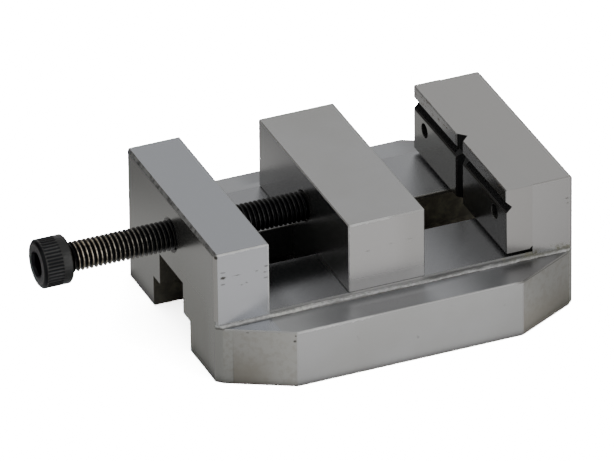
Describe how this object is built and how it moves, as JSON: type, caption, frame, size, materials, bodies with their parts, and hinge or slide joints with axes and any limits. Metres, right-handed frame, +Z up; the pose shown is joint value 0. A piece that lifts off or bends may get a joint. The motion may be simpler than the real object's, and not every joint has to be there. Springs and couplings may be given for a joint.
{
  "type": "precision machine vise",
  "caption": "Ground steel machine vise with clamping ledges, a screw-driven moving jaw in an inverted T slot, and a fixed prismatic V-groove jaw plate.",
  "frame": {"origin": "bottom centre of the whole vise's box at rest: on the underside's plane and in the vise's middle plane, 31.5 mm in from the end block's outer face", "axes": "+X along the spindle from its head towards the fixed jaw, +Y to the rear, +Z up from the underside"},
  "size_m": [0.137, 0.08, 0.038],
  "materials": {
    "ground_body": "ground",
    "ground_jaw": "ground",
    "hardened_plate": "ground",
    "keeper_steel": "milled",
    "black_spindle": "black oxide",
    "black_screw": "black oxide",
    "bright_pin": "polished"
  },
  "bodies": {
    "base": {"vise_body": "ground_body", "jaw_plate": "hardened_plate", "plate_screw_rear": "black_screw", "plate_screw_front": "black_screw", "plate_dowel_rear": "bright_pin", "plate_dowel_front": "bright_pin"},
    "moving_jaw": {"moving_jaw": "ground_jaw", "keeper_plate": "keeper_steel", "keeper_screw_back": "black_screw", "keeper_screw_nose": "black_screw", "spindle_pin_rear": "bright_pin", "spindle_pin_front": "bright_pin"},
    "spindle": {"spindle": "black_spindle"}
  },
  "joints": [
    {"name": "jaw_slide", "type": "slide", "parent": "base", "child": "moving_jaw", "axis": [1, 0, 0], "range_m": [-0.022, 0.0226]},
    {"name": "spindle_turn", "type": "hinge", "parent": "moving_jaw", "child": "spindle", "pos_m": [-0.0305, 0, 0.028], "axis": [1, 0, 0], "range_deg": [-6337, 6510]}
  ],
  "couplings": [
    {"joint": "spindle_turn", "follows": "jaw_slide", "rad_per_m": 5026.5}
  ]
}
